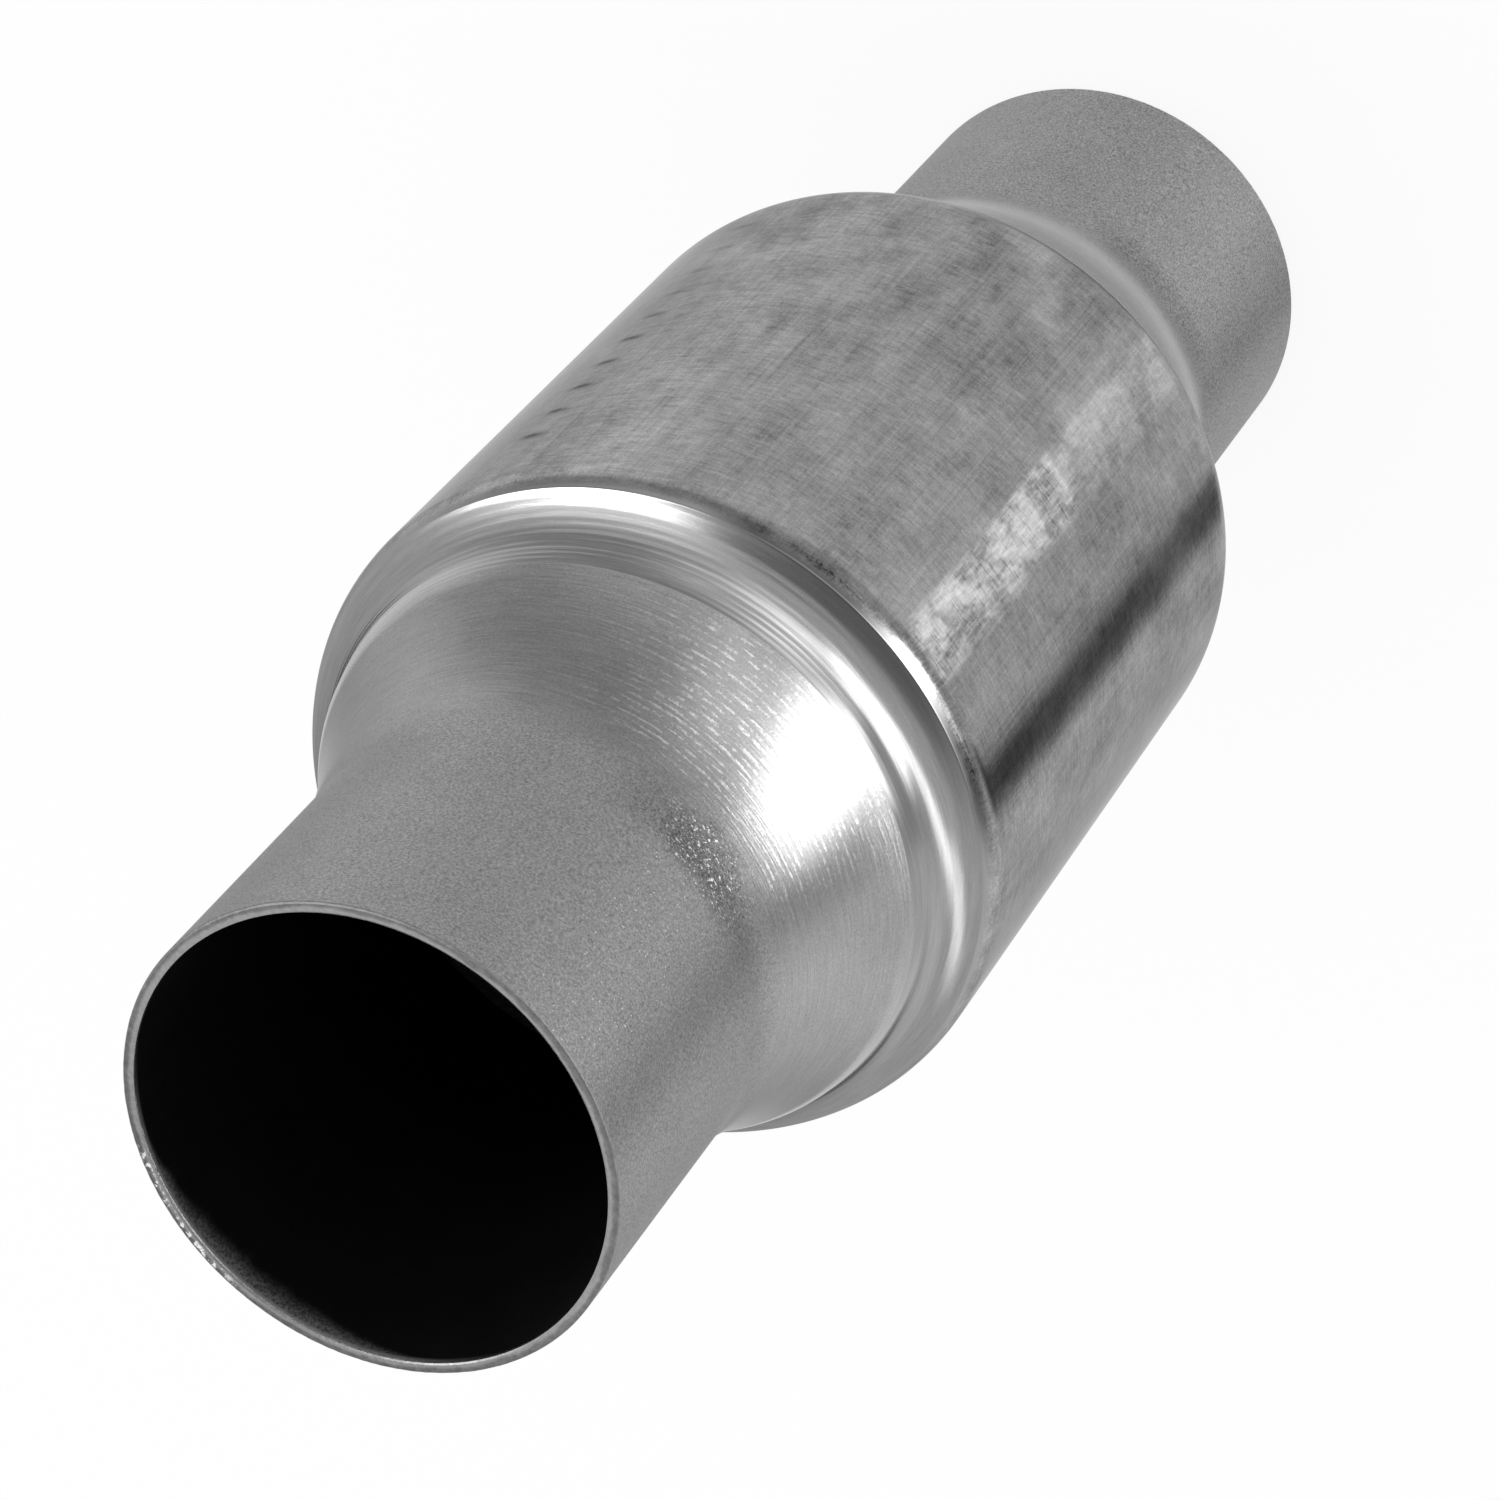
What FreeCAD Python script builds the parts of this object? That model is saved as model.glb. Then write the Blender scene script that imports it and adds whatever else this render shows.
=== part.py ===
import FreeCAD, Part
import math
import os
from FreeCAD import Vector

# Round catalytic converter with spun ends, standing on its outlet rim.
# One steel tube makes the whole case: its middle is left at full width and
# each end is spun down to a neck that slips over the exhaust pipe. Two ceramic
# honeycomb bricks sit in the middle, each wrapped in a fibre mat with a ring
# of knitted wire at either edge. Sizes are in millimetres and degrees.
# The axis is Z, the inlet is up, and the origin is the middle of the lower rim.

# Case, spun from one tube
overall_length = 272.0
body_od = 101.6
shell_wall = 1.6
neck_od = 67.7
rim_chamfer = 0.3

# One spun end, from its rim to the full-width body; the neck takes the length that is left
end_length = 88.7
flare_blend_radius = 23.0
flare_blend_angle = 12.0
flare_radius = 97.0
flare_angle = 28.0
land_length = 3.0
land_angle = 12.5
fillet_length = 7.4
shoulder_radius = 9.0
shoulder_angle = 30.0

# Honeycomb bricks, which share the full-width stretch of the case
brick_gap = 12.0
brick_end_clearance = 2.8
brick_skin = 1.2
cell_pitch = 5.6
cell_web = 1.0
smallest_cell_area = 6.0

# Fibre mats, each closed by a tongue in a slot
mat_thickness = 4.2
mat_slit = 0.6
tongue_share = 0.4
tongue_reach = 22.0

# Knitted wire rings at the edges of the mats
seal_width = 4.0
seal_corner = 1.0

# Worked out from the sizes above
body_radius = body_od / 2
neck_radius = neck_od / 2
case_bore_radius = body_radius - shell_wall
brick_radius = case_bore_radius - mat_thickness
blend_run = flare_blend_radius * math.sin(math.radians(flare_blend_angle))
flare_top = flare_radius * math.sin(math.radians(flare_angle))
flare_run = flare_top - flare_radius * math.sin(math.radians(flare_blend_angle))
shoulder_run = shoulder_radius * math.sin(math.radians(shoulder_angle))
neck_straight = end_length - shoulder_run - fillet_length - land_length - flare_run - blend_run
middle_z = overall_length / 2
full_width_length = overall_length - 2 * end_length
brick_length = (full_width_length - brick_gap) / 2 - brick_end_clearance
mat_length = brick_length - 2 * seal_width
tongue_width = mat_length * tongue_share


def on_circle(center, radius, angle):
    """A point on a circle, with the angle measured from the axis-ward side."""
    turn = math.radians(angle)
    return (center[0] - radius * math.cos(turn), center[1] + radius * math.sin(turn))


def inside(point, slope, inset):
    """The point moved in by the inset, square to a face of that slope."""
    turn = math.radians(slope)
    return (point[0] - inset * math.cos(turn), point[1] + inset * math.sin(turn))


def end_outline(inset):
    """One end from its rim to the body, as (radius, distance) stations.

    The inset is how far the line lies inside the outer face, so the same
    stations with the wall as the inset give the inner face. Each entry is
    either one point, for a straight run, or a middle and an end, for an arc.
    """
    blend_center = (neck_radius + flare_blend_radius, neck_straight)
    blend_end = on_circle(blend_center, flare_blend_radius, flare_blend_angle)
    toward_flare = math.radians(flare_blend_angle)
    flare_center = (
        blend_end[0] + flare_radius * math.cos(toward_flare),
        blend_end[1] - flare_radius * math.sin(toward_flare),
    )
    flare_edge = on_circle(flare_center, flare_radius, flare_angle)
    land_rise = land_length * math.tan(math.radians(land_angle))
    land_end = (flare_edge[0] + land_rise, flare_edge[1] + land_length)
    shoulder_center = (body_radius - shoulder_radius, end_length)
    shoulder_edge = on_circle(shoulder_center, -shoulder_radius, shoulder_angle)

    # The fillet leaves the land smoothly and ends at the crisp edge of the shoulder
    rise = shoulder_edge[0] - land_end[0]
    run = shoulder_edge[1] - land_end[1]
    half_turn = math.degrees(math.atan2(rise, run)) - land_angle
    fillet_radius = math.hypot(rise, run) / (2 * math.sin(math.radians(half_turn)))
    toward_land = math.radians(land_angle)
    fillet_center = (
        land_end[0] + fillet_radius * math.cos(toward_land),
        land_end[1] - fillet_radius * math.sin(toward_land),
    )

    blend = flare_blend_radius + inset
    flare = flare_radius + inset
    fillet = fillet_radius + inset
    shoulder = shoulder_radius - inset
    flare_middle = (flare_blend_angle + flare_angle) / 2
    return [
        [(neck_radius - inset, neck_straight)],
        [on_circle(blend_center, blend, flare_blend_angle / 2),
         on_circle(blend_center, blend, flare_blend_angle)],
        [on_circle(flare_center, flare, flare_middle),
         on_circle(flare_center, flare, flare_angle)],
        [inside(land_end, land_angle, inset)],
        [on_circle(fillet_center, fillet, land_angle + half_turn),
         on_circle(shoulder_center, -shoulder, shoulder_angle)],
        [on_circle(shoulder_center, -shoulder, shoulder_angle / 2),
         (body_radius - inset, end_length)],
    ]


def trace(start, stations, place):
    """Edges through the stations, and the point where they end."""
    edges = []
    here = place(start)
    for station in stations:
        points = [place(point) for point in station]
        if len(points) == 1:
            edges.append(Part.makeLine(here, points[0]))
        else:
            edges.append(Part.Arc(here, points[0], points[1]).toShape())
        here = points[-1]
    return edges, here


def lower(point):
    return Vector(point[0], 0, point[1])


def upper(point):
    return Vector(point[0], 0, overall_length - point[1])


def face_line(inset):
    """The outer or inner face of the case, from the lower rim to the upper."""
    start = (neck_radius - inset, rim_chamfer)
    stations = end_outline(inset)
    low_edges, low_end = trace(start, stations, lower)
    high_edges, high_end = trace(start, stations, upper)
    return low_edges + [Part.makeLine(low_end, high_end)] + high_edges


def rim_edges(place):
    """The cut rim of one neck, with its two small deburred corners."""
    outer = neck_radius
    inner = neck_radius - shell_wall
    corners = [
        (outer, rim_chamfer),
        (outer - rim_chamfer, 0),
        (inner + rim_chamfer, 0),
        (inner, rim_chamfer),
    ]
    points = [place(corner) for corner in corners]
    return [Part.makeLine(a, b) for a, b in zip(points, points[1:])]


def spun_shell():
    """The case: one wall of even thickness turned about the axis."""
    edges = face_line(0) + rim_edges(upper) + face_line(shell_wall) + rim_edges(lower)
    section = Part.Face(Part.Wire(Part.__sortEdges__(edges)))
    return section.revolve(Vector(0, 0, 0), Vector(0, 0, 1), 360)


def brick_bottom(side):
    """Height of a brick's lower face: side is 1 for the inlet, -1 for the outlet."""
    if side > 0:
        return middle_z + brick_gap / 2
    return middle_z - brick_gap / 2 - brick_length


def cells(bottom):
    """Square gas passages, trimmed by the skin where they meet the rim."""
    reach = brick_radius - brick_skin
    opening = cell_pitch - cell_web
    count = math.ceil(reach / cell_pitch)
    lane = Part.makeCylinder(reach, brick_length, Vector(0, 0, bottom))
    passages = []
    for column in range(-count, count + 1):
        for row in range(-count, count + 1):
            x = column * cell_pitch - opening / 2
            y = row * cell_pitch - opening / 2
            corners = [math.hypot(x + i * opening, y + j * opening) for i in (0, 1) for j in (0, 1)]
            cell = Part.makeBox(opening, opening, brick_length, Vector(x, y, bottom))
            if max(corners) < reach:
                passages.append(cell)
            elif min(corners) < reach:
                trimmed = cell.common(lane)
                if trimmed.Volume > smallest_cell_area * brick_length:
                    passages.extend(trimmed.Solids)
    return passages


def brick(side):
    """A ceramic honeycomb: a round skin with straight passages through it."""
    bottom = brick_bottom(side)
    block = Part.makeCylinder(brick_radius, brick_length, Vector(0, 0, bottom))
    return block.cut(Part.makeCompound(cells(bottom)))


def sleeve(inner, outer, bottom, height, sweep=360):
    base = Vector(0, 0, bottom)
    axis = Vector(0, 0, 1)
    body = Part.makeCylinder(outer, height, base, axis, sweep)
    return body.cut(Part.makeCylinder(inner, height, base, axis, 360))


def mat(side):
    """A fibre sheet wrapped once round its brick, its tongue in its slot."""
    bottom = brick_bottom(side) + seal_width
    wrap = sleeve(brick_radius, case_bore_radius, bottom, mat_length)
    past = mat_thickness / 2
    inner = brick_radius - past
    outer = case_bore_radius + past
    reach = math.degrees(tongue_reach / case_bore_radius)
    half_slit = mat_slit / 2
    tongue_low = bottom + (mat_length - tongue_width) / 2
    tongue_high = tongue_low + tongue_width

    def across(angle, low, high):
        slot = Part.makeBox(outer - inner, mat_slit, high - low, Vector(inner, -half_slit, low))
        slot.rotate(Vector(0, 0, 0), Vector(0, 0, 1), angle)
        return slot

    def along(height):
        return sleeve(inner, outer, height - half_slit, mat_slit, reach)

    slit = across(0, bottom, tongue_low + half_slit)
    slit = slit.fuse(across(0, tongue_high - half_slit, bottom + mat_length))
    slit = slit.fuse(across(reach, tongue_low - half_slit, tongue_high + half_slit))
    slit = slit.fuse([along(tongue_low), along(tongue_high)])
    return wrap.cut(slit)


def wire_seal(side, edge):
    """A ring of knitted wire that fills the space past one edge of a mat."""
    bottom = brick_bottom(side)
    if edge > 0:
        bottom = bottom + brick_length - seal_width
    ring = sleeve(brick_radius, case_bore_radius, bottom, seal_width)
    rims = [edge for edge in ring.Edges if len(edge.Vertexes) == 1]
    return ring.makeChamfer(seal_corner, rims)


def build():
    parts = {
        "spun_shell": spun_shell(),
        "front_brick": brick(1),
        "rear_brick": brick(-1),
        "front_mat": mat(1),
        "rear_mat": mat(-1),
        "front_seal_upper": wire_seal(1, 1),
        "front_seal_lower": wire_seal(1, -1),
        "rear_seal_upper": wire_seal(-1, 1),
        "rear_seal_lower": wire_seal(-1, -1),
    }
    os.makedirs("parts", exist_ok=True)
    for name, shape in parts.items():
        solids = len(shape.Solids)
        print(f"{name}: {solids} solid, {shape.Volume / 1000:.2f} cm3, valid {shape.isValid()}")
        shape.exportStep(f"parts/{name}.step")


build()
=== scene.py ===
import math
import random

import bpy
import numpy as np
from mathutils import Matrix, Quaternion, Vector
from mathutils.geometry import tessellate_polygon


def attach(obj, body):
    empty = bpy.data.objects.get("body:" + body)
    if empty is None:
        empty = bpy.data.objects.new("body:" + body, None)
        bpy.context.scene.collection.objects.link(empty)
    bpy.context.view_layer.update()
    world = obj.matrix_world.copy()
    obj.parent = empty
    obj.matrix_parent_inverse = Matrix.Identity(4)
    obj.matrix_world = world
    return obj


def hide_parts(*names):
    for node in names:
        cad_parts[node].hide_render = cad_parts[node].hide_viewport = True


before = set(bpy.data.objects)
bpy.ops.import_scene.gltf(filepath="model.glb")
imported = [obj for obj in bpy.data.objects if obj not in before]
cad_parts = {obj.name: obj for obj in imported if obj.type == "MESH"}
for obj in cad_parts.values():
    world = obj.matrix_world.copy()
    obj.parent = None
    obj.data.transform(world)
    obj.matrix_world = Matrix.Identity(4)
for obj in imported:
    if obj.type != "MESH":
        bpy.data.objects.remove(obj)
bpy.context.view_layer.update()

mm = 0.001
print("frame loaded:", len(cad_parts), "nodes")


# Shader helpers

class Wire:
    # one output socket; sums and products on it add their own Math nodes
    def __init__(self, net, socket):
        self.net = net
        self.socket = socket

    def maths(self, operation, *values):
        return self.net.add("ShaderNodeMath", {"operation": operation}, dict(enumerate(values)))

    def __add__(self, other):
        return self.maths("ADD", self, other)

    def __sub__(self, other):
        return self.maths("SUBTRACT", self, other)

    def __mul__(self, other):
        return self.maths("MULTIPLY", self, other)

    def __truediv__(self, other):
        return self.maths("DIVIDE", self, other)

    def __pow__(self, other):
        return self.maths("POWER", self, other)

    def __rsub__(self, other):
        return self.maths("SUBTRACT", other, self)

    def __rtruediv__(self, other):
        return self.maths("DIVIDE", other, self)

    __radd__ = __add__
    __rmul__ = __mul__

    def least(self, other):
        return self.maths("MINIMUM", self, other)

    def most(self, other):
        return self.maths("MAXIMUM", self, other)

    def size(self):
        return self.maths("ABSOLUTE", self)

    def exp(self):
        return self.maths("EXPONENT", self)

    def sine(self):
        return self.maths("SINE", self)

    def fraction(self):
        return self.maths("FRACT", self)

    def rise(self, low, high):
        # 0 below low, 1 above high, smooth in between
        settings = {"interpolation_type": "SMOOTHSTEP", "clamp": True}
        values = {"Value": self, "From Min": low, "From Max": high, "To Min": 0.0, "To Max": 1.0}
        return self.net.add("ShaderNodeMapRange", settings, values)

    def band(self, low, high, soft):
        # 1 between low and high, 0 outside, with soft ends
        return self.rise(low - soft, low + soft) * (1 - self.rise(high - soft, high + soft))


class NodeNet:
    def __init__(self, tree):
        self.tree = tree
        tree.nodes.clear()

    def add(self, kind, settings=None, values=None, output=0):
        node = self.tree.nodes.new(kind)
        for name, value in (settings or {}).items():
            setattr(node, name, value)
        for name, value in (values or {}).items():
            if isinstance(value, Wire):
                self.tree.links.new(value.socket, node.inputs[name])
            else:
                node.inputs[name].default_value = value
        return Wire(self, node.outputs[output])

    def place(self, output="Object"):
        return self.add("ShaderNodeTexCoord", None, None, output)

    def parts(self, vector):
        outputs = self.add("ShaderNodeSeparateXYZ", None, {0: vector}).socket.node.outputs
        return [Wire(self, outputs[i]) for i in range(3)]

    def noise(self, vector, factors, detail, roughness, shift=(0, 0, 0)):
        # the factors say how fast the pattern changes along each axis, for each metre
        stretched = self.add("ShaderNodeVectorMath", {"operation": "MULTIPLY_ADD"},
                             {0: vector, 1: factors, 2: shift})
        values = {"Vector": stretched, "Scale": 1.0, "Detail": detail, "Roughness": roughness}
        return self.add("ShaderNodeTexNoise", None, values)

    def grey(self, value):
        return self.add("ShaderNodeCombineXYZ", None, {0: value, 1: value, 2: value})

    def blend(self, factor, first, second):
        values = {"Factor": factor, 6: first, 7: second}
        return self.add("ShaderNodeMix", {"data_type": "RGBA"}, values, 2)

    def anyRay(self, *kinds):
        # 1 for a ray of any of these kinds
        outputs = self.add("ShaderNodeLightPath").socket.node.outputs
        found = Wire(self, outputs[kinds[0]])
        for kind in kinds[1:]:
            found = found.most(Wire(self, outputs[kind]))
        return found

    def finish(self, shader, target="ShaderNodeOutputMaterial"):
        output = self.tree.nodes.new(target)
        self.tree.links.new(shader.socket, output.inputs["Surface"])

    def surface(self, height, values):
        # a Principled surface with that micro-relief, the height in millimetres
        bump = self.add("ShaderNodeBump", None, {"Strength": 1.0, "Distance": mm, "Height": height})
        self.finish(self.add("ShaderNodeBsdfPrincipled", None, {"Normal": bump, **values}))


def turnDegrees(x, y):
    # the direction about the axis, 0 on the photographer's side
    return (0 - x).maths("ARCTAN2", 0 - x, 0 - y) * math.degrees(1)


def fromNearerRim(z, form):
    middle = form["length"] / 2
    return middle - (z / mm - middle).size()


def newMaterial(name):
    material = bpy.data.materials.new(name)
    material.use_nodes = True
    return material, NodeNet(material.node_tree)


# Camera, at the photograph's angle

cameraView = {
    "place": (0.0, -0.43451, 0.74107),
    "target": (-0.005489, 0.0, 0.15972),
    "roll": -140.372,
    "lens": 124.303,
    "sensor": 36.0,
}


def makeCamera(values):
    data = bpy.data.cameras.new("camera")
    data.lens = values["lens"]
    data.sensor_width = values["sensor"]
    camera = bpy.data.objects.new("camera", data)
    bpy.context.scene.collection.objects.link(camera)
    place = Vector(values["place"])
    level = (Vector(values["target"]) - place).to_track_quat("-Z", "Y")
    camera.rotation_mode = "QUATERNION"
    camera.location = place
    camera.rotation_quaternion = level @ Quaternion((0, 0, 1), math.radians(values["roll"]))
    bpy.context.scene.camera = camera


makeCamera(cameraView)
bpy.context.scene.view_settings.view_transform = "Standard"
print("camera placed")


# Light: a white studio whose bright panels and dark cards only the metal sees

# azimuth is 0 on the photographer's side; each entry is azimuth, elevation, half width, half height,
# how far the shape leans (degrees of azimuth for each degree of elevation), and the strength
studio = {
    "level": 0.86,
    "lights": {
        "softBox": (32, -8.5, 16, 12.5, -0.6, 4.6),
        "softGlow": (5, -7, 23, 11, -0.6, 0.7),
        "farBand": (60, 2, 24, 6, 0, 2.4),
        "highBand": (92, 11, 19, 7, 0, 1.5),
        "sideBox": (-79, 42, 31, 11, 0, 6.0),
        "sideGlow": (-66, 24, 36, 13, 0, 0.9),
        "lowStrip": (33, -56, 10.5, 12, 0, 0.3),
        "leftFill": (-112, -45, 40, 24, 0, 0.34),
        "rightFill": (114, -38, 34, 26, 0, 0.4),
    },
    "cards": {
        "darkTop": (15, 55, 60, 24, 0, 0.72),
        "leftCard": (-58, -18, 46, 13, 0, 0.45),
        "lowCard": (12, -34, 48, 11, 0, 0.36),
        "stripUpper": (64, -22, 8, 14, -0.15, 0.22),
        "stripLower": (79, -49, 10.5, 14, -1.1, 0.94),
    },
}


def studioLight(values):
    world = bpy.data.worlds.new("studio")
    world.use_nodes = True
    bpy.context.scene.world = world
    net = NodeNet(world.node_tree)
    x, y, z = net.parts(net.place("Generated"))
    azimuth = turnDegrees(x, y)
    elevation = z.maths("ARCSINE", z) * math.degrees(1)

    def patch(spot):
        # nearly flat over the panel, with soft edges
        atAzimuth, atElevation, wide, high, lean, strength = spot
        up = elevation - atElevation
        across = (azimuth - atAzimuth - up * lean) / wide
        up = up / high
        return (0 - (across * across) ** 2 - (up * up) ** 2).exp() * strength

    seen = values["level"]
    for spot in values["lights"].values():
        seen = seen + patch(spot)
    for spot in values["cards"].values():
        seen = seen * (1 - patch(spot))

    # metal sees the studio, the camera sees white, and pale surfaces are lit at a plain level
    white = net.add("ShaderNodeBackground", None, {"Color": (1, 1, 1, 1), "Strength": 1.0})
    panels = net.add("ShaderNodeBackground", None, {"Color": net.grey(seen), "Strength": 1.0})
    glossy = net.anyRay("Is Glossy Ray")
    net.finish(net.add("ShaderNodeMixShader", None, {0: glossy, 1: white, 2: panels}),
               "ShaderNodeOutputWorld")


studioLight(studio)

floorLook = {"halfSide": 4.0, "drop": 0.1 * mm, "colour": 0.98, "shadowShare": 0.15}


def makeFloor(values):
    half = values["halfSide"]
    corners = [(-half, -half), (half, -half), (half, half), (-half, half)]
    mesh = bpy.data.meshes.new("floor")
    mesh.from_pydata([(x, y, -values["drop"]) for x, y in corners], [], [(0, 1, 2, 3)])
    floor = bpy.data.objects.new("floor", mesh)
    bpy.context.scene.collection.objects.link(floor)
    floor.visible_glossy = False
    material, net = newMaterial("floorPaper")
    shade = values["colour"]
    paper = net.add("ShaderNodeBsdfDiffuse", None, {"Color": (shade, shade, shade, 1)})
    white = net.add("ShaderNodeEmission", None, {"Color": (1, 1, 1, 1), "Strength": 1.0})
    looks = net.anyRay("Is Camera Ray", "Is Glossy Ray", "Is Transmission Ray")
    share = looks * (1 - values["shadowShare"])
    net.finish(net.add("ShaderNodeMixShader", None, {0: share, 1: paper, 2: white}))
    mesh.materials.append(material)


makeFloor(floorLook)
print("studio and floor made")


# The case: one steel tube, spun down at both ends

caseForm = {
    "length": 272.0, "bodyRadius": 50.8, "neckRadius": 33.85, "wall": 1.6,
    "endLength": 88.7, "blendRadius": 23.0, "blendAngle": 12.0, "flareRadius": 97.0, "flareAngle": 28.0,
    "landLength": 3.0, "landAngle": 12.5, "filletLength": 7.4,
    "shoulderRadius": 9.0, "shoulderAngle": 30.0,
    "rimCorner": 0.3, "cornerMiddle": (0.08, 0.12), "burr": 0.025, "seed": 11,
    "segments": 360, "bodyRows": 22, "sharpAngle": 14,
    "outerSteps": {"neck": 12, "blend": 8, "flare": 26, "land": 4, "fillet": 30, "shoulder": 12},
    "innerSteps": {"neck": 3, "blend": 2, "flare": 6, "land": 1, "fillet": 5, "shoulder": 4},
    # each zone of the outside has its own material: how far it reaches from the nearer rim, and the
    # finishes that show in it; a finish that has faded to nothing is left out, to keep renders quick
    "zones": {
        "steelNeck": (33, ("neck",)),
        "steelNeckFlare": (73, ("neck", "glints", "flare")),
        "steelFlareRingBody": (92, ("flare", "ring", "body")),
        "steelBody": (136, ("body",)),
    },
}


def onCircle(center, radius, degrees):
    turn = math.radians(degrees)
    return (center[0] - radius * math.cos(turn), center[1] + radius * math.sin(turn))


def arcPoints(center, radius, first, last, steps):
    # points after the first, along an arc given by the slopes at its two ends
    return [onCircle(center, radius, first + (last - first) * (i + 1) / steps) for i in range(steps)]


def linePoints(start, end, steps):
    shares = [(i + 1) / steps for i in range(steps)]
    return [(start[0] + (end[0] - start[0]) * t, start[1] + (end[1] - start[1]) * t) for t in shares]


def neckLength(form):
    # the neck takes what the blend, flare, land, fillet and shoulder leave of the end
    def rise(radius, low, high):
        return radius * (math.sin(math.radians(high)) - math.sin(math.radians(low)))

    curved = rise(form["blendRadius"], 0, form["blendAngle"])
    curved += rise(form["flareRadius"], form["blendAngle"], form["flareAngle"])
    curved += rise(form["shoulderRadius"], 0, form["shoulderAngle"])
    return form["endLength"] - form["filletLength"] - form["landLength"] - curved


def arcCenter(point, radius, slope):
    # the middle of an arc that leaves the point at that slope, away from the axis
    turn = math.radians(slope)
    return (point[0] + radius * math.cos(turn), point[1] - radius * math.sin(turn))


def endLine(form, inset, steps):
    # one end from its rim to the body as (radius, distance) points, in millimetres
    neck, blendBy, flareBy = form["neckRadius"], form["blendRadius"], form["flareRadius"]
    blendTo, flareTo, landTo = form["blendAngle"], form["flareAngle"], form["landAngle"]
    straight = neckLength(form)
    blendCenter = (neck + blendBy, straight)
    flareCenter = arcCenter(onCircle(blendCenter, blendBy, blendTo), flareBy, blendTo)
    flareEdge = onCircle(flareCenter, flareBy, flareTo)
    landRise = form["landLength"] * math.tan(math.radians(landTo))
    landEnd = (flareEdge[0] + landRise, flareEdge[1] + form["landLength"])
    shoulderBy = form["shoulderRadius"]
    shoulderCenter = (form["bodyRadius"] - shoulderBy, form["endLength"])
    shoulderEdge = onCircle(shoulderCenter, -shoulderBy, form["shoulderAngle"])
    rise, run = shoulderEdge[0] - landEnd[0], shoulderEdge[1] - landEnd[1]
    halfTurn = math.degrees(math.atan2(rise, run)) - landTo
    filletBy = math.hypot(rise, run) / (2 * math.sin(math.radians(halfTurn)))
    filletCenter = arcCenter(landEnd, filletBy, landTo)

    turn = math.radians(landTo)
    landInside = (landEnd[0] - inset * math.cos(turn), landEnd[1] + inset * math.sin(turn))
    shoulderStart = onCircle(shoulderCenter, inset - shoulderBy, form["shoulderAngle"])
    line = [(neck - inset, form["rimCorner"])]
    line += linePoints(line[0], (neck - inset, straight), steps["neck"])
    line += arcPoints(blendCenter, blendBy + inset, 0, blendTo, steps["blend"])
    line += arcPoints(flareCenter, flareBy + inset, blendTo, flareTo, steps["flare"])
    line += linePoints(line[-1], landInside, steps["land"])
    line += arcPoints(filletCenter, filletBy + inset, landTo, landTo + 2 * halfTurn, steps["fillet"])[:-1]
    line.append(shoulderStart)
    line += arcPoints(shoulderCenter, inset - shoulderBy, form["shoulderAngle"], 0, steps["shoulder"])
    return line


def lathe(line, segments):
    # turns a closed line of (radius, height) points, in millimetres, about the axis
    line = np.array(line) * mm
    turn = np.linspace(0, 2 * math.pi, segments, endpoint=False)
    rows = len(line)
    points = np.empty((rows, segments, 3))
    points[:, :, 0] = line[:, 0, None] * np.cos(turn)
    points[:, :, 1] = line[:, 0, None] * np.sin(turn)
    points[:, :, 2] = line[:, 1, None]
    row = np.arange(rows)
    here = row[:, None] * segments
    above = ((row + 1) % rows)[:, None] * segments
    step = np.arange(segments)[None, :]
    after = (step + 1) % segments
    faces = np.stack([here + step, here + after, above + after, above + step], axis=-1)
    return points, faces.reshape(-1, 4)


def makeMesh(name, points, faces):
    mesh = bpy.data.meshes.new(name)
    mesh.from_pydata(points, [], faces)
    mesh.validate()
    mesh.update()
    made = bpy.data.objects.new(name, mesh)
    bpy.context.scene.collection.objects.link(made)
    return made


def caseStretches(form):
    # the closed section of the case, in five stretches from the lower rim up the outside and back
    total, low, corner = form["length"], form["endLength"], form["rimCorner"]
    outer, inner = form["neckRadius"], form["neckRadius"] - form["wall"]
    inward, upward = form["cornerMiddle"]

    def atTop(points):
        return [(radius, total - height) for radius, height in points]

    outerEnd = endLine(form, 0, form["outerSteps"])
    innerEnd = endLine(form, form["wall"], form["innerSteps"])
    share = (total - 2 * low) / (form["bodyRows"] + 1)
    body = [(form["bodyRadius"], low + share * (i + 1)) for i in range(form["bodyRows"])]
    face = [(outer - corner, 0.0), (outer - inward, upward)]
    lip = [(inner + inward, upward), (inner + corner, 0.0)]
    return {
        "face": face,
        "outside": outerEnd + body + atTop(reversed(outerEnd)),
        "top": atTop(reversed(face)) + atTop(reversed(lip)),
        "inside": atTop(innerEnd) + list(reversed(innerEnd)),
        "lip": lip,
    }


def roughenRims(points, rows, form):
    # the rims were cut and deburred by hand, so their corners aren't quite even
    rng = random.Random(form["seed"])
    shifts = [rng.uniform(-1, 1) * form["burr"] * mm for _ in range(form["segments"])]
    for row in rows:
        for i, shift in enumerate(shifts):
            x, y = points[row, i, 0], points[row, i, 1]
            radius = math.hypot(x, y)
            points[row, i, 0] += x / radius * shift
            points[row, i, 1] += y / radius * shift


def zoneSlots(line, firstTop, firstInside, firstLip, form):
    # the material slot of each row of faces: the steel's zones, then the bore, then the rims
    heights = np.array(line)[:, 1]
    rowMiddle = (heights + np.roll(heights, -1)) / 2
    fromRim = form["length"] / 2 - np.abs(rowMiddle - form["length"] / 2)
    reaches = [zone[0] for zone in form["zones"].values()]
    bore, rim = len(reaches), len(reaches) + 1
    slots = np.searchsorted(reaches[:-1], fromRim)
    slots[firstInside:firstLip - 1] = bore
    slots[firstTop - 1:firstInside] = rim
    slots[[0, 1, firstLip - 1, firstLip, len(line) - 1]] = rim
    return slots


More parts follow.
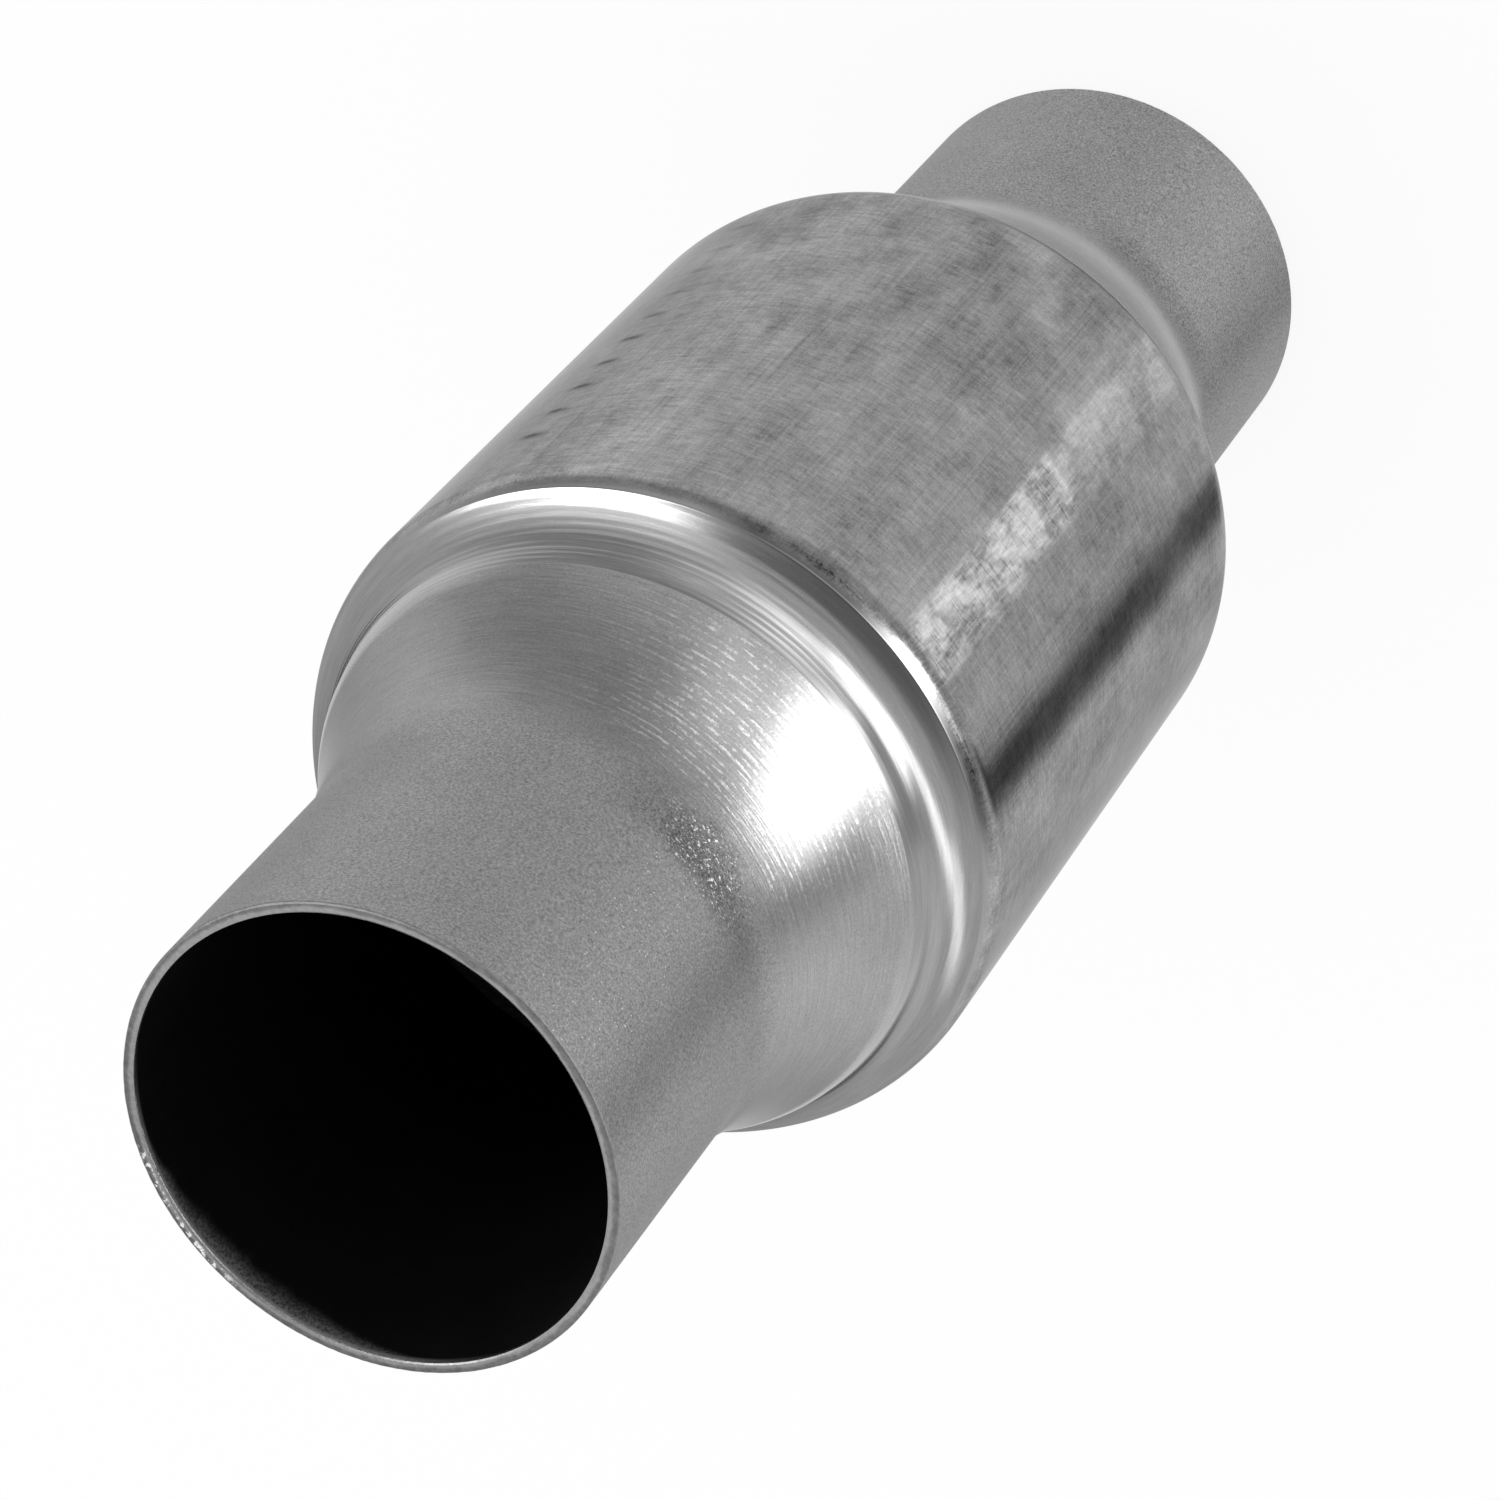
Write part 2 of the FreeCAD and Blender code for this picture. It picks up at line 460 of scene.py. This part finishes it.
def makeCase(form):
    stretches = caseStretches(form)
    line = sum(stretches.values(), [])
    firstTop = len(stretches["face"]) + len(stretches["outside"])
    firstInside = firstTop + len(stretches["top"])
    firstLip = firstInside + len(stretches["inside"])
    points, faces = lathe(line, form["segments"])
    roughenRims(points, (0, 1, firstTop, firstTop + 1), form)
    shell = makeMesh("caseShell", points.reshape(-1, 3).tolist(), faces.tolist())
    mesh = shell.data
    slots = zoneSlots(line, firstTop, firstInside, firstLip, form)
    slots = slots[np.arange(len(mesh.polygons)) // form["segments"]]
    mesh.polygons.foreach_set("material_index", slots.astype(np.int32))
    mesh.shade_smooth()
    mesh.set_sharp_from_angle(angle=math.radians(form["sharpAngle"]))
    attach(shell, "root")
    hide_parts("spun_shell")
    return shell


shell = makeCase(caseForm)
print("case turned:", len(shell.data.polygons) * 2, "triangles")


# Steel of the case

# turns are degrees about the axis, 0 on the photographer's side; stations are millimetres from the
# inlet rim, and nearer is the same from whichever rim is nearer; two numbers are where a change starts
# and ends, and three are a low end, a high end and how soft both are; tones are parts of the shade
steelLook = {
    "shade": 0.33, "darkest": 0.03, "edgeTint": 0.5,
    "creaseStep": (73.5, 74.1), "edgeStep": (83.9, 84.5),
    "crease": {"at": 73.8, "reach": 2.6, "slope": 0.16, "turns": (8, 26)},
    # matt steel at the far end and the crease sides, with painted light lifting their tone
    "matt": {"amount": 0.85, "farEnd": (187, 222, 6), "farPaintedLight": 0.15,
             "farRim": (212, 226), "farRimPaintedLight": 0.12,
             "sideTurns": (46, 70), "sideNearer": (72.4, 77, 1.0), "sidePaintedLight": 0.1},
    # how fast each changes along x, y and z for each metre, its detail, its roughness and its shift
    "textures": {
        "grain": ((3000, 3000, 3000), 3.0, 0.65),
        "cloud": ((110, 110, 70), 4.0, 0.6, (3, 1, 7)),
        "specks": ((3000, 3000, 3000), 1.0, 0.4, (7, 7, 2)),
        "glints": ((1500, 1500, 2700), 3.0, 0.7, (2, 9, 9)),
        "turned": ((170, 170, 3200), 3.0, 0.6, (5, 2, 1)),
        "turnedWide": ((26, 26, 620), 2.0, 0.5, (9, 4, 3)),
        "rowBreaks": ((640, 640, 1050), 4.0, 0.7, (9, 1, 4)),
        "drawn": ((2600, 2600, 45), 3.0, 0.6, (2, 8, 5)),
        "drawnWide": ((300, 300, 9), 3.0, 0.65, (6, 3, 2)),
        "dashes": ((1700, 1700, 260), 3.0, 0.6, (4, 1, 9)),
        "scratches": ((260, 260, 2200), 3.0, 0.65, (1, 5, 8)),
        "weave": ((520, 520, 900), 3.0, 0.6, (3, 3, 5)),
        "patches": ((150, 150, 110), 3.0, 0.6, (2, 6, 6)),
        "dents": ((95, 95, 70), 2.0, 0.5, (8, 8, 1)),
    },
    "finishes": {
        "neck": {
            "until": (45, 54), "rough": 0.42, "depth": 0.013,
            "sand": 2.0, "farSand": (187, 222), "cloud": 0.2,
            # the specks are painted glints, bright only on these turns
            "specks": {"above": (0.7, 0.76), "turns": (3, 32, 6), "until": (50, 60), "tone": 1.4},
        },
        # painted glints on a darker ground
        "glints": {
            "stations": (41.5, 49, 2.2), "turns": (6, 30, 7), "stationWander": 8, "turnWander": 16,
            "above": (0.59, 0.66), "tone": 3.6, "ground": 0.25, "depth": 0.09, "polish": 0.1,
            # painted shade over the blend, on the turns that face the light
            "hollow": {"nearer": (41, 51, 3), "turns": (-6, 36, 7), "tone": 0.22},
        },
        "flare": {
            "from": (45, 54), "rough": 0.19, "roughSwing": 0.12,
            "depths": {"turned": 0.02, "turnedWide": 0.008, "grain": 0.006},
            "tones": {"turned": 0.5, "cloud": 0.2, "grain": 0.7},
            # rows of painted glints beside the flare's highlight
            "rows": {"pitch": 0.95, "waver": {"grain": 3, "turned": 3}, "full": 0.9, "gaps": (0.44, 0.62),
                     "turns": (-38, 2, 30, 44), "stations": (52, 73, 2), "front": (-6, 0), "tone": 0.9},
        },
        "ring": {
            "rough": 0.16, "depths": {"turned": 0.006, "turnedWide": 0.008},
            "tones": {"turnedWide": 0.3, "turned": 0.4, "grain": 0.2},
            "grooves": {"pitch": 1.05, "fade": (-6, 14), "faded": 0.9, "depth": 0.022},
            # painted highlight on the land, then painted shade on the shoulder's edge and on one side of
            # the ring
            "glow": {"turns": (-26, 8, 9), "stations": (75, 79.3, 1.2), "tone": 0.3},
            "shoulder": {"until": (85.4, 87.0), "turns": (-20, 46, 6), "lightTurn": 16, "lightWidth": 7,
                         "tone": 0.72},
            "side": {"turns": (42, 62), "nearer": (74.2, 78, 0.6), "tone": 0.22},
        },
        "body": {
            "from": (84.2, 86.2), "rough": 0.16, "cloudRough": 0.12,
            "depths": {"drawn": 0.004, "dashes": 0.004, "drawnWide": 0.012, "dents": 0.05,
                       "scratches": 0.004, "grain": 0.005},
            "tones": {"drawn": 0.6, "drawnWide": 0.5, "weave": 0.7, "scratches": 0.7, "grain": 0.9},
            "cloud": {"tone": 1.1, "farther": (120, 180), "fartherTone": 0.6},
            "scored": {"wide": (0.58, 0.72), "fine": (0.4, 0.6), "tone": 0.4},
            # a rubbed strip with a painted highlight along it
            "rubbed": {"turns": (11.3, 22.3, 1.0), "wander": 6, "past": (141.5, 143.1), "fainter": 0.6,
                       "patches": (0.4, 0.58), "patchTone": 0.75, "dashes": (0.42, 0.66), "dashTone": 0.45,
                       "cracks": (0.54, 0.64), "crackTone": 0.6, "ground": 0.1},
            "scuffed": {"turns": (50, 72, 5), "stations": (112, 160, 8), "scratches": (0.55, 0.68),
                        "cloud": (0.42, 0.6), "tone": 0.4},
            "marks": {"turn": -62.0, "first": 102.8, "pitch": 8.3, "stations": (99.8, 180.0, 1.0),
                      "lean": 0.25, "halfWidth": 2.2, "halfHeight": 0.8, "worn": (136, 150), "wornBy": 0.55,
                      "depth": 0.05},
        },
    },
}


class SteelSpot:
    # where a point of the case lies, and the textures there, each made once and only when wanted
    def __init__(self, net, form, look):
        self.net = net
        self.place = net.place()
        x, self.y, z = net.parts(self.place)
        self.turn = turnDegrees(x, self.y)
        self.fromTop = form["length"] - z / mm
        self.nearer = fromNearerRim(z, form)
        self.afterCrease = self.nearer.rise(*look["creaseStep"])
        self.afterEdge = self.nearer.rise(*look["edgeStep"])
        self.textures = look["textures"]
        self.made = {}

    def texture(self, name):
        if name not in self.made:
            self.made[name] = self.net.noise(self.place, *self.textures[name])
        return self.made[name]

    def centred(self, name):
        return self.texture(name) - 0.5

    def stacked(self, depths):
        terms = [self.texture(name) * depth for name, depth in depths.items()]
        return sum(terms[1:], terms[0])

    def spread(self, tones):
        terms = [self.centred(name) * tone for name, tone in tones.items()]
        return sum(terms[1:], terms[0])


# Each finish gives what it adds to the height, the tone and the roughness

def neckFinish(spot, look):
    # blasted necks; their bright specks are painted glints, made only on the turns where the light reflects
    onNeck = 1 - spot.nearer.rise(*look["until"])
    specks = look["specks"]
    lit = spot.turn.band(*specks["turns"]) * (1 - spot.fromTop.rise(*specks["until"]))
    bright = spot.texture("specks").rise(*specks["above"]) * lit * specks["tone"]
    sand = spot.centred("grain") * (look["sand"] + spot.fromTop.rise(*look["farSand"]))
    tone = onNeck * (sand + spot.centred("cloud") * look["cloud"] + bright)
    return onNeck * spot.texture("grain") * look["depth"], tone, onNeck * look["rough"]


def glintFinish(spot, look):
    # painted glints, coarse, on a darker ground where the neck turns into the flare; beside them, painted
    # shade over the blend
    cloud = spot.centred("cloud")
    coarse = (spot.fromTop + cloud * look["stationWander"]).band(*look["stations"])
    coarse = coarse * (spot.turn + cloud * look["turnWander"]).band(*look["turns"])
    glints = spot.texture("glints")
    hollow = look["hollow"]
    darker = spot.nearer.band(*hollow["nearer"]) * spot.turn.band(*hollow["turns"]) * hollow["tone"]
    tone = coarse * (glints.rise(*look["above"]) * look["tone"] - look["ground"]) - darker
    return coarse * glints * look["depth"], tone, coarse * -look["polish"]


def paintedGlintRows(spot, look):
    # painted glints: rows of bright dashes on the turning lines beside the flare's highlight, on the side
    # facing the camera
    wave = (spot.fromTop * (2 * math.pi / look["pitch"])).sine()
    rows = (wave + spot.spread(look["waver"])).rise(0.0, look["full"])
    rows = rows * spot.texture("rowBreaks").rise(*look["gaps"])
    first, full, fade, last = look["turns"]
    rows = rows * spot.turn.rise(first, full) * (1 - spot.turn.rise(fade, last))
    rows = rows * spot.fromTop.band(*look["stations"])
    return rows * (1 - (spot.y / mm).rise(*look["front"])) * look["tone"]


def flareFinish(spot, look):
    onFlare = spot.nearer.rise(*look["from"]) * (1 - spot.afterCrease)
    tone = onFlare * spot.spread(look["tones"]) + paintedGlintRows(spot, look["rows"])
    rough = look["rough"] + spot.centred("turned") * look["roughSwing"]
    return onFlare * spot.stacked(look["depths"]), tone, onFlare * rough


def ringFinish(spot, look):
    onRing = spot.afterCrease * (1 - spot.afterEdge)
    turn, turned = spot.turn, spot.texture("turned")
    grooves, glow, shoulder, side = (look[name] for name in ("grooves", "glow", "shoulder", "side"))
    wave = (spot.fromTop * (2 * math.pi / grooves["pitch"])).sine()
    wave = wave * (1 - turn.rise(*grooves["fade"]) * grooves["faded"])
    height = onRing * (spot.stacked(look["depths"]) + wave * turned * grooves["depth"])
    # painted highlight: a band on the land, on the turns facing the light
    paintedGlow = turn.band(*glow["turns"]) * spot.fromTop.band(*glow["stations"]) * (turned + glow["tone"])

    # painted shade: the shoulder's edge is darkened but for a crescent on the turns of the light, and the
    # ring is darkened on one side
    onShoulder = spot.afterEdge * (1 - spot.nearer.rise(*shoulder["until"]))
    crescent = (0 - ((turn - shoulder["lightTurn"]) / shoulder["lightWidth"]) ** 2).exp()
    dark = onShoulder * turn.band(*shoulder["turns"]) * (1 - crescent) * shoulder["tone"]
    dark = dark + turn.rise(*side["turns"]) * spot.nearer.band(*side["nearer"]) * side["tone"]
    return height, onRing * spot.spread(look["tones"]) + paintedGlow - dark, onRing * look["rough"]


def rubbedStripPaintedHighlight(spot, look):
    # a rubbed strip along the body with a painted highlight: bright mottled patches on the turns where the
    # body's highlight falls, fainter past the middle
    shifted = spot.turn + spot.centred("drawnWide") * look["wander"]
    strip = shifted.band(*look["turns"]) * (1 - spot.fromTop.rise(*look["past"]) * look["fainter"])
    tone = spot.texture("patches").rise(*look["patches"]) * look["patchTone"]
    tone = tone + spot.texture("dashes").rise(*look["dashes"]) * look["dashTone"]
    tone = tone - spot.texture("scratches").rise(*look["cracks"]) * look["crackTone"]
    return strip * (tone - look["ground"])


def scuffedPatch(spot, look):
    patch = spot.turn.band(*look["turns"]) * spot.fromTop.band(*look["stations"])
    patch = patch * spot.texture("scratches").rise(*look["scratches"])
    return patch * spot.texture("cloud").rise(*look["cloud"]) * look["tone"]


def rollerMarks(spot, look):
    # short slanted marks, evenly spaced down one side of the body
    across = (spot.turn - look["turn"]) * math.radians(caseForm["bodyRadius"])
    steps = (spot.fromTop - look["first"]) / look["pitch"] + 0.5
    up = (steps.fraction() - 0.5) * look["pitch"] + across * look["lean"]
    mark = (0 - (across / look["halfWidth"]) ** 2 - (up / look["halfHeight"]) ** 2).exp()
    fade = 1 - spot.fromTop.rise(*look["worn"]) * look["wornBy"]
    return mark * spot.fromTop.band(*look["stations"]) * fade


def bodyFinish(spot, look):
    onBody = spot.nearer.rise(*look["from"])
    marks = rollerMarks(spot, look["marks"])
    cloud, scored = look["cloud"], look["scored"]
    cloudTone = cloud["tone"] + spot.fromTop.rise(*cloud["farther"]) * cloud["fartherTone"]
    score = spot.texture("drawnWide").rise(*scored["wide"]) * spot.texture("drawn").rise(*scored["fine"])
    tone = spot.spread(look["tones"]) + spot.centred("cloud") * cloudTone - score * scored["tone"]
    tone = tone + rubbedStripPaintedHighlight(spot, look["rubbed"]) - scuffedPatch(spot, look["scuffed"]) - marks
    height = spot.stacked(look["depths"]) - marks * look["marks"]["depth"]
    rough = spot.afterEdge * look["rough"] + onBody * spot.centred("cloud") * look["cloudRough"]
    return onBody * height, onBody * tone, rough


finishMakers = {
    "neck": neckFinish, "glints": glintFinish, "flare": flareFinish,
    "ring": ringFinish, "body": bodyFinish,
}


def creaseTurn(spot, look):
    # the crease isn't sharp: the face turns over the first few millimetres past it, more on the left
    reach = (2 - spot.turn.rise(*look["turns"])) * look["reach"]
    left = (1 - (spot.nearer - look["at"]) / reach).most(0).least(1)
    return left * left * reach * (look["slope"] / 2)


def caseSteel(name, finishes, form, look):
    material, net = newMaterial(name)
    spot = SteelSpot(net, form, look)
    height = 0 - creaseTurn(spot, look["crease"])
    tone, rough = 1, 0
    for finish in finishes:
        addedHeight, addedTone, addedRough = finishMakers[finish](spot, look["finishes"][finish])
        height = height + addedHeight
        tone = tone + addedTone
        rough = rough + addedRough

    # at the far end and the sides of the crease the steel is made matt, and its tone is lifted there and at
    # the far rim: painted light
    matt = look["matt"]
    farEnd = spot.fromTop.band(*matt["farEnd"])
    sides = spot.turn.size().rise(*matt["sideTurns"]) * spot.nearer.band(*matt["sideNearer"])
    tone = tone + farEnd * matt["farPaintedLight"] + sides * matt["sidePaintedLight"]
    tone = tone + spot.fromTop.rise(*matt["farRim"]) * matt["farRimPaintedLight"]
    shade = net.grey((tone * look["shade"]).most(look["darkest"]))
    tint = look["edgeTint"]
    net.surface(height, {"Base Color": shade, "Metallic": 1 - farEnd.most(sides) * matt["amount"],
                         "Roughness": rough, "Specular Tint": (tint, tint, tint, 1)})
    return material


# the bore's colours are painted shade and light: near black inside, with a lit band at the mouth
boreLook = {
    "darkMottle": ((160, 160, 90), 4.0, 0.6), "specks": ((2600, 2600, 2000), 3.0, 0.7),
    "shade": 0.001, "darkMottleShade": 0.004, "depth": 0.05, "rough": 0.9, "specular": 0.05,
    "mouthLight": {"turns": (125, 175), "reach": 5.0, "even": 0.4, "uneven": 1.1, "leastReach": 0.6,
             "fade": (0.05, 1.0), "fall": 1.5, "specks": (0.36, 0.62), "between": 0.3, "shade": 0.17},
    "lip": {"until": (0.5, 1.2), "turns": (110, 160), "between": 0.5, "shade": 0.22},
}


def boreInPaintedShade(form, look):
    material, net = newMaterial("boreInPaintedShade")
    place = net.place()
    x, y, z = net.parts(place)
    nearer = fromNearerRim(z, form)
    away = turnDegrees(x, y).size()
    darkMottle = net.noise(place, *look["darkMottle"])
    specks = net.noise(place, *look["specks"])

    # painted light: a speckled grey band just inside the rim, fading into the black where light falls in at
    # the mouth, widest on the side away from the camera
    mouthLight, lip = look["mouthLight"], look["lip"]
    reach = away.rise(*mouthLight["turns"]) * mouthLight["reach"] * (mouthLight["even"] + darkMottle * mouthLight["uneven"])
    paintedMouthLight = (1 - (nearer / (reach + mouthLight["leastReach"])).rise(*mouthLight["fade"])) ** mouthLight["fall"]
    speckled = mouthLight["between"] + specks.rise(*mouthLight["specks"]) * (1 - mouthLight["between"])
    paintedMouthLight = paintedMouthLight * speckled * mouthLight["shade"]
    # painted highlight on the first millimetre inside the rim, on the side away from the camera
    bright = (1 - nearer.rise(*lip["until"])) * away.rise(*lip["turns"])
    bright = bright * lip["shade"] * (lip["between"] + specks)
    # painted shade: the bore is near black, with a faint darker mottle
    shade = net.grey(darkMottle * look["darkMottleShade"] + look["shade"] + paintedMouthLight.most(bright))
    net.surface(specks * look["depth"], {"Base Color": shade, "Roughness": look["rough"],
                                         "Specular IOR Level": look["specular"]})
    return material


# widths are millimetres from the bore, across the rim
rimLook = {
    "nicks": ((1100, 1100, 1100), 3.0, 0.7), "waver": ((150, 150, 150), 3.0, 0.6),
    "shade": 0.22, "darkest": 0.05, "nickShade": 0.25, "nickDepth": 0.04,
    "side": {"turns": (90, 140), "shade": 0.05},
    "inner": {"waver": 1.6, "widths": (0.5, 1.0), "shade": 0.15},
    # painted glints on part of the rim's far side
    "paintedRimGlints": {"turns": (-176, -140, 5), "widths": (0.5, 1.2, 0.2), "above": (0.5, 0.6), "shade": 0.8,
               "deeper": 2},
    "rough": 0.26, "outer": {"widths": (0.9, 1.2), "rough": 0.3},
}


def cutRim(form, look):
    material, net = newMaterial("cutRim")
    place = net.place()
    x, y = net.parts(place)[:2]
    turn = turnDegrees(x, y)
    width = (x * x + y * y) ** 0.5 / mm - (form["neckRadius"] - form["wall"])
    nicks = net.noise(place, *look["nicks"])
    waver = net.noise(place, *look["waver"]) - 0.5
    side, inner, paintedRimGlints, outer = (look[name] for name in ("side", "inner", "paintedRimGlints", "outer"))
    onInner = 1 - (width + waver * inner["waver"]).rise(*inner["widths"])
    rimGlintZone = turn.band(*paintedRimGlints["turns"]) * width.band(*paintedRimGlints["widths"])
    # painted shade: the rim is darker on the side away from the camera
    tone = look["shade"] - turn.size().rise(*side["turns"]) * side["shade"]
    tone = tone + onInner * inner["shade"] + (nicks - 0.5) * look["nickShade"]
    # painted glints on part of the far side of the rim
    tone = tone + rimGlintZone * nicks.rise(*paintedRimGlints["above"]) * paintedRimGlints["shade"]
    rough = look["rough"] + width.rise(*outer["widths"]) * outer["rough"]
    net.surface(nicks * look["nickDepth"] * (1 + rimGlintZone * paintedRimGlints["deeper"]),
                {"Base Color": net.grey(tone.most(look["darkest"])), "Metallic": 1.0, "Roughness": rough})
    return material


for name, (reach, finishes) in caseForm["zones"].items():
    shell.data.materials.append(caseSteel(name, finishes, caseForm, steelLook))
shell.data.materials.append(boreInPaintedShade(caseForm, boreLook))
shell.data.materials.append(cutRim(caseForm, rimLook))
print("steel finished")


# Honeycomb bricks, about 62 passages in a square centimetre

brickForm = {
    "radius": 45.0, "length": 38.5, "skin": 0.7, "pitch": 1.27, "web": 0.17, "rimSegments": 240,
    "bottoms": {"frontHoneycomb": (142.0, "front_brick"), "rearHoneycomb": (91.5, "rear_brick")},
}


def cellGrid(form):
    # which cells fit inside the skin, by column and row
    reach = form["radius"] - form["skin"]
    half = (form["pitch"] - form["web"]) / 2
    count = int(reach / form["pitch"]) + 1
    kept = {}
    for column in range(-count, count + 1):
        for row in range(-count, count + 1):
            far = math.hypot(abs(column) * form["pitch"] + half, abs(row) * form["pitch"] + half)
            if far < reach:
                kept[column, row] = len(kept)
    return kept, half


def openEdges(faces):
    # directed edges that only one face uses
    seen = set()
    for face in faces:
        for a, b in zip(face, face[1:] + face[:1]):
            seen.add((a, b))
    return {a: b for a, b in seen if (b, a) not in seen}


def cellWebs(kept):
    # the webs between neighbouring cells, four corners to a cell, numbered from the lower left
    webs = []
    for (column, row), cell in kept.items():
        here = cell * 4
        right = kept.get((column + 1, row))
        above = kept.get((column, row + 1))
        across = kept.get((column + 1, row + 1))
        if right is not None:
            webs.append([here + 1, right * 4, right * 4 + 3, here + 2])
        if above is not None:
            webs.append([here + 3, here + 2, above * 4 + 1, above * 4])
        if None not in (right, above, across):
            webs.append([here + 2, right * 4 + 3, across * 4, above * 4 + 1])
    return webs


def cellOutline(webs, cells):
    # the outline of all the cells: web edges that border neither a web nor a passage
    passages = [[cell * 4, cell * 4 + 1, cell * 4 + 2, cell * 4 + 3] for cell in range(cells)]
    border = openEdges(webs + passages)
    start = next(iter(border))
    loop = [start]
    while border[loop[-1]] != start:
        loop.append(border[loop[-1]])
    return loop


def skinFaces(points, ring, loop):
    # the ring between the round rim and the cells' outline, every triangle turning left
    outlines = [[Vector((*points[i], 0)) for i in line] for line in (ring, loop)]
    order = ring + loop
    skin = []
    for triangle in tessellate_polygon(outlines):
        a, b, c = (order[i] for i in triangle)
        (ax, ay), (bx, by), (cx, cy) = points[a], points[b], points[c]
        turnsLeft = (bx - ax) * (cy - ay) - (by - ay) * (cx - ax) > 0
        skin.append([a, b, c] if turnsLeft else [a, c, b])
    return skin


def buildHoneycomb(name, form, bottom, node):
    kept, half = cellGrid(form)
    pitch, radius, count = form["pitch"], form["radius"], form["rimSegments"]
    corners = [(-half, -half), (half, -half), (half, half), (-half, half)]
    points = []
    for column, row in kept:
        points += [(column * pitch + x, row * pitch + y) for x, y in corners]
    ring = list(range(len(points), len(points) + count))
    turns = [2 * math.pi * i / count for i in range(count)]
    points += [(radius * math.cos(turn), radius * math.sin(turn)) for turn in turns]
    webs = cellWebs(kept)
    flat = webs + skinFaces(points, ring, cellOutline(webs, len(kept)))

    # the flat pattern at the bottom and the top, and walls where it is open
    size = len(points)
    heights = (bottom, bottom + form["length"])
    solid = [(x * mm, y * mm, height * mm) for height in heights for x, y in points]
    faces = [[i + size for i in face] for face in flat] + [face[::-1] for face in flat]
    faces += [[b + size, a + size, a, b] for a, b in openEdges(flat).items()]
    brick = makeMesh(name, solid, faces)
    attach(brick, "root")
    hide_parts(node)
    return brick


ceramicLook = {
    "blotches": ((55, 55, 55), 4.0, 0.6), "fade": (0.3, 0.7),
    "dark": (0.4, 0.36, 0.28, 1), "pale": (0.6, 0.54, 0.43, 1),
    "specks": ((1400, 1400, 1400), 2.0, 0.6), "depth": 0.06, "rough": 0.85,
}


def washcoat(look):
    material, net = newMaterial("coatedCeramic")
    place = net.place()
    blotches = net.noise(place, *look["blotches"]).rise(*look["fade"])
    colour = net.blend(blotches, look["dark"], look["pale"])
    height = net.noise(place, *look["specks"]) * look["depth"]
    net.surface(height, {"Base Color": colour, "Roughness": look["rough"]})
    return material


ceramic = washcoat(ceramicLook)
for name, (bottom, node) in brickForm["bottoms"].items():
    brick = buildHoneycomb(name, brickForm, bottom, node)
    brick.data.materials.append(ceramic)
    print(name, len(brick.data.polygons), "faces")


# Mats and wire rings keep their solids

matLook = {
    "fibres": ((2200, 2200, 700), 4.0, 0.7), "depth": 0.25, "rough": 0.95, "pale": (0.78, 0.75, 0.68, 1),
    "golden": (0.55, 0.43, 0.24, 1), "flakes": 900.0, "flakeSize": (0.12, 0.3), "flakeShare": 0.5,
}


def fibreMat(look):
    material, net = newMaterial("fibreMat")
    place = net.place()
    fibres = net.noise(place, *look["fibres"])
    flakes = net.add("ShaderNodeTexVoronoi", None, {"Vector": place, "Scale": look["flakes"]})
    golden = (1 - flakes.rise(*look["flakeSize"])) * look["flakeShare"]
    colour = net.blend(golden, look["pale"], look["golden"])
    net.surface(fibres * look["depth"], {"Base Color": colour, "Roughness": look["rough"]})
    return material


# loops is how fast the stitches turn, in radians for each millimetre at the middle of the ring
wireLook = {
    "middleRadius": 47.0, "loops": 3.2, "loopDepth": 0.12, "strands": ((1600, 1600, 1600), 2.0, 0.6),
    "strandDepth": 0.2, "shade": 0.18, "strandShade": 0.4, "rough": 0.42,
}


def knittedWire(look):
    material, net = newMaterial("knittedWire")
    place = net.place()
    x, y, z = net.parts(place)
    around = x.maths("ARCTAN2", y, x) * look["middleRadius"]
    loops = ((around * look["loops"]).sine() + (z / mm * look["loops"]).sine()) / 2
    strands = net.noise(place, *look["strands"])
    shade = net.grey(look["shade"] + strands * look["strandShade"])
    net.surface(loops * look["loopDepth"] + strands * look["strandDepth"],
                {"Base Color": shade, "Metallic": 1.0, "Roughness": look["rough"]})
    return material


def paint(node, material):
    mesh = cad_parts[node].data
    mesh.materials.clear()
    mesh.materials.append(material)


matFinish, wireFinish = fibreMat(matLook), knittedWire(wireLook)
for side in ("front", "rear"):
    paint(side + "_mat", matFinish)
    for edge in ("upper", "lower"):
        paint(side + "_seal_" + edge, wireFinish)
print("mats and wire rings finished")
